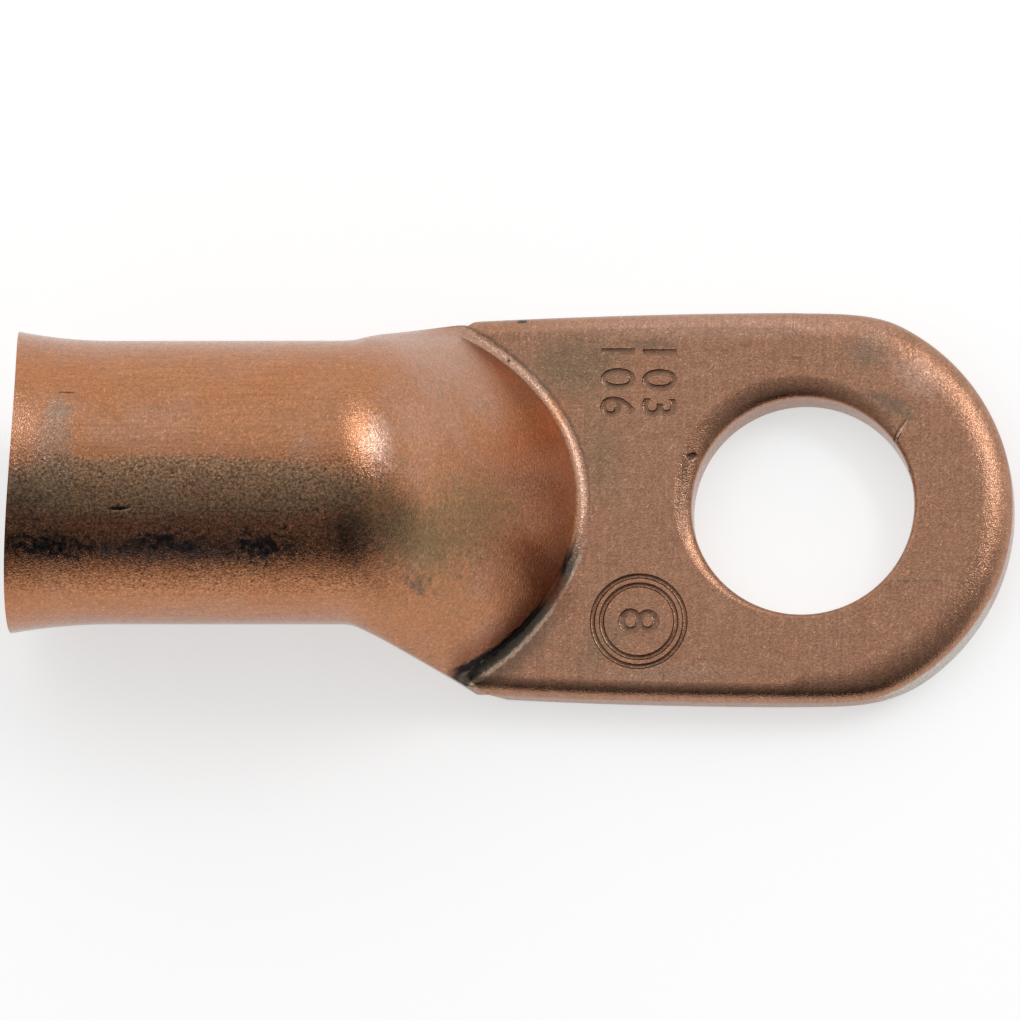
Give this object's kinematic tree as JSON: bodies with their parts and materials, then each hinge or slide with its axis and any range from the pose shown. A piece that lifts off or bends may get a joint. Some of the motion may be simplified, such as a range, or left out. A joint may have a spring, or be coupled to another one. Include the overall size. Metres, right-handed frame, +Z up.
{
  "type": "copper cable lug",
  "caption": "Seamless copper tube lug for heavy battery or welding cable, with a bell-mouthed barrel, a pressed palm and a hole for a 3/8 inch stud.",
  "frame": {"origin": "centre of the stud hole on the palm's underside", "axes": "+Z up through the palm along the stud hole, +X to the palm's round end, with the barrel's mouth facing -X"},
  "size_m": [0.046, 0.0184, 0.0139],
  "materials": {
    "copper": "bright drawn copper, lightly tarnished"
  },
  "bodies": {
    "root": {"cable_lug": "copper"}
  },
  "joints": []
}
